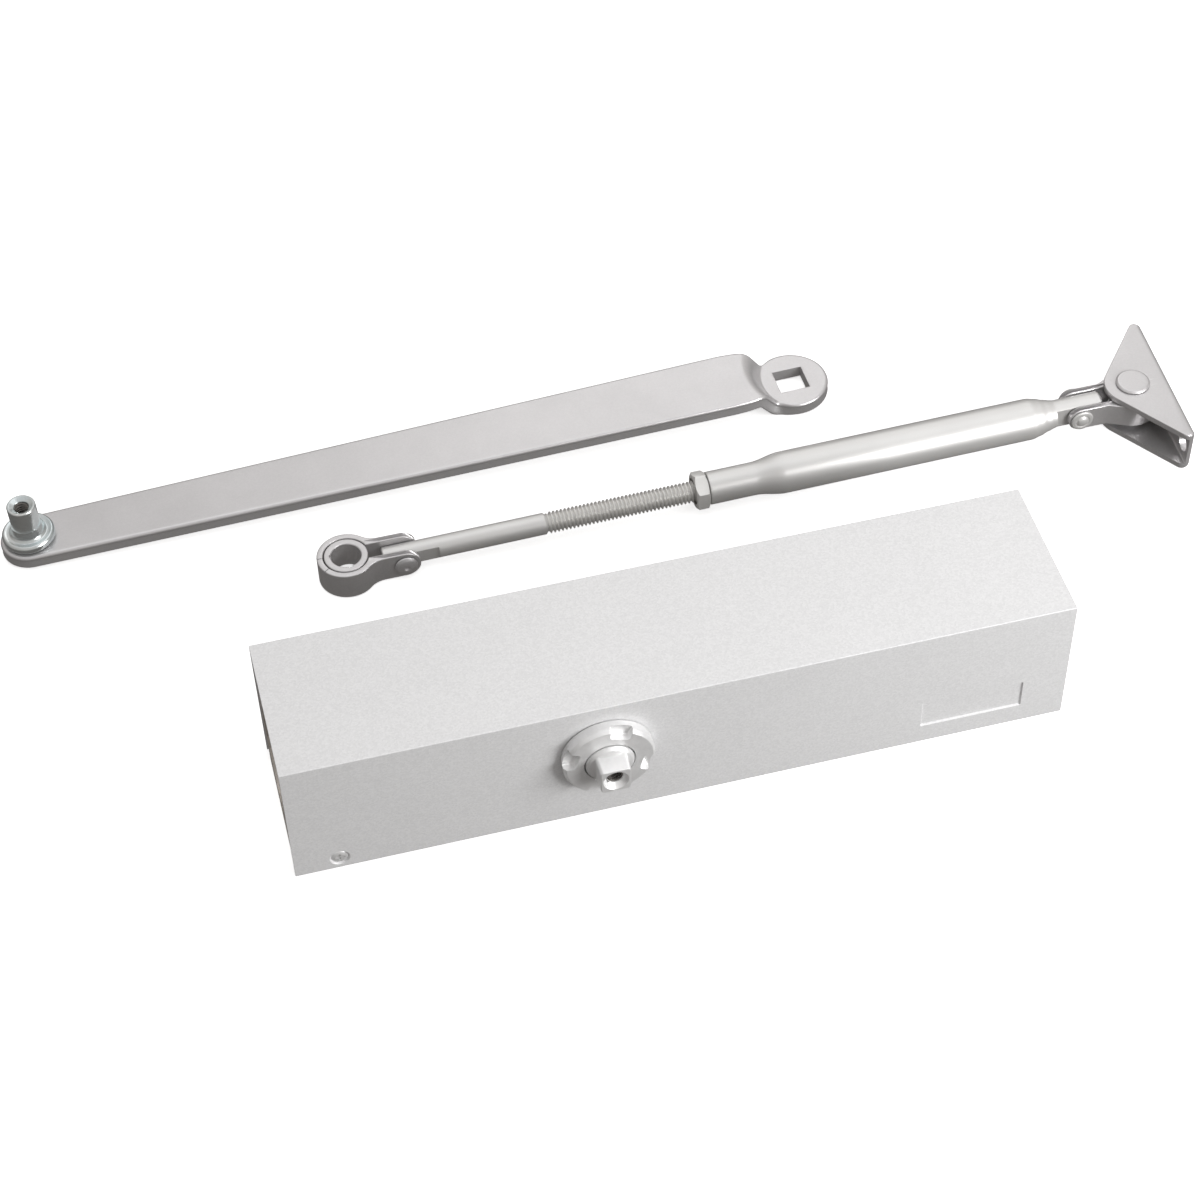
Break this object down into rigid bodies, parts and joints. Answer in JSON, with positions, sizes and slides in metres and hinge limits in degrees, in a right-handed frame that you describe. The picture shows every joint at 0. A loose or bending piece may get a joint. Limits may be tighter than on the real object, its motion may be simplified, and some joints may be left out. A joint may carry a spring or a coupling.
{
  "type": "door closer",
  "caption": "Surface-mounted hydraulic door closer: boxed body with a square spindle, loose offset main arm, and adjustable rod with swivelling triangular foot bracket.",
  "frame": {"origin": "centre of the closer body's flat mounting back, in the plane that lies on the table", "axes": "+X along the closer body towards the spring end, -Y out along the spindle, +Z away from the door or table"},
  "size_m": [0.4235, 0.198, 0.052],
  "materials": {
    "silver_paint": "fine metallic silver paint, satin",
    "cast_body": "as-cast aluminium with machined ends",
    "bright_plate": "bright silver plate, slightly rolled edges",
    "zinc_plate": "blue-bright zinc plate",
    "bare_steel": "oiled bare steel",
    "rubber": "black nitrile rubber"
  },
  "bodies": {
    "closer_body": {"cover": "silver_paint", "cover_screw": "bright_plate", "housing": "cast_body", "left_end_plug": "cast_body", "left_plug_o_ring": "rubber", "right_end_plug": "cast_body", "right_plug_o_ring": "rubber", "front_bearing_cap": "bright_plate", "bearing_cap_o_ring": "rubber", "spindle_seal": "rubber", "front_bearing": "bare_steel", "rear_bearing": "bare_steel", "closing_spring": "bare_steel"},
    "spindle": {"spindle": "bright_plate"},
    "piston": {"piston": "bare_steel", "check_valve_retainer": "bare_steel", "check_valve_ball": "bare_steel"},
    "closing_valve": {"closing_speed_valve": "bright_plate", "closing_valve_o_ring": "rubber"},
    "latching_valve": {"latching_speed_valve": "bright_plate", "latching_valve_o_ring": "rubber"},
    "main_arm": {"main_arm": "silver_paint", "elbow_stud": "zinc_plate"},
    "rod_tube": {"rod_tube": "silver_paint"},
    "threaded_rod": {"threaded_rod": "silver_paint"},
    "jam_nut": {"jam_nut": "silver_paint"},
    "elbow_yoke": {"elbow_yoke": "silver_paint", "yoke_rivet": "silver_paint"},
    "elbow_bush": {"elbow_bush": "silver_paint"},
    "foot_clevis": {"foot_clevis": "silver_paint", "foot_clevis_rivet": "silver_paint"},
    "foot_bracket": {"foot_bracket": "silver_paint", "foot_pivot_rivet": "silver_paint", "foot_pivot_spacer": "bare_steel"}
  },
  "joints": [
    {"name": "spindle_turn", "type": "hinge", "parent": "closer_body", "child": "spindle", "pos_m": [-0.0266, 0, 0.0306], "axis": [0, -1, 0], "range_deg": [0, 180]},
    {"name": "piston_travel", "type": "slide", "parent": "closer_body", "child": "piston", "axis": [1, 0, 0], "range_m": [0, 0.02356], "deforming": ["closing_spring"]},
    {"name": "closing_valve_turn", "type": "hinge", "parent": "closer_body", "child": "closing_valve", "pos_m": [-0.113, -0.0165, 0.042], "axis": [-1, 0, 0], "range_deg": [-180, 180]},
    {"name": "latching_valve_turn", "type": "hinge", "parent": "closer_body", "child": "latching_valve", "pos_m": [-0.113, 0.0165, 0.042], "axis": [-1, 0, 0], "range_deg": [-180, 180]},
    {"name": "main_arm_lift", "type": "slide", "parent": "closer_body", "child": "main_arm", "axis": [0, 0, 1], "range_m": [0, 0.2]},
    {"name": "rod_lift", "type": "slide", "parent": "closer_body", "child": "rod_tube", "axis": [0, 0, 1], "range_m": [0, 0.2]},
    {"name": "rod_length", "type": "slide", "parent": "rod_tube", "child": "threaded_rod", "axis": [-0.9999, -0.0058, -0.0155], "range_m": [-0.045, 0.03]},
    {"name": "jam_nut_run", "type": "slide", "parent": "rod_tube", "child": "jam_nut", "axis": [-0.9999, -0.0058, -0.0155], "range_m": [0, 0.03]},
    {"name": "yoke_pivot", "type": "hinge", "parent": "threaded_rod", "child": "elbow_yoke", "pos_m": [-0.069, 0.09592, 0.0055], "axis": [-0.0058, 1, 0], "range_deg": [-75, 75]},
    {"name": "bush_turn", "type": "hinge", "parent": "elbow_yoke", "child": "elbow_bush", "pos_m": [-0.089, 0.0958, 0.0055], "axis": [0, 0, 1], "continuous": true},
    {"name": "foot_clevis_pivot", "type": "hinge", "parent": "rod_tube", "child": "foot_clevis", "pos_m": [0.18227, 0.09736, 0.0094], "axis": [-0.0058, 1, 0], "range_deg": [-65, 65]},
    {"name": "foot_bracket_pivot", "type": "hinge", "parent": "foot_clevis", "child": "foot_bracket", "pos_m": [0.20336, 0.09748, 0.0094], "axis": [0, 0, 1], "range_deg": [-60, 60]}
  ],
  "couplings": [
    {"joint": "spindle_turn", "follows": "piston_travel", "rad_per_m": 133.33}
  ]
}
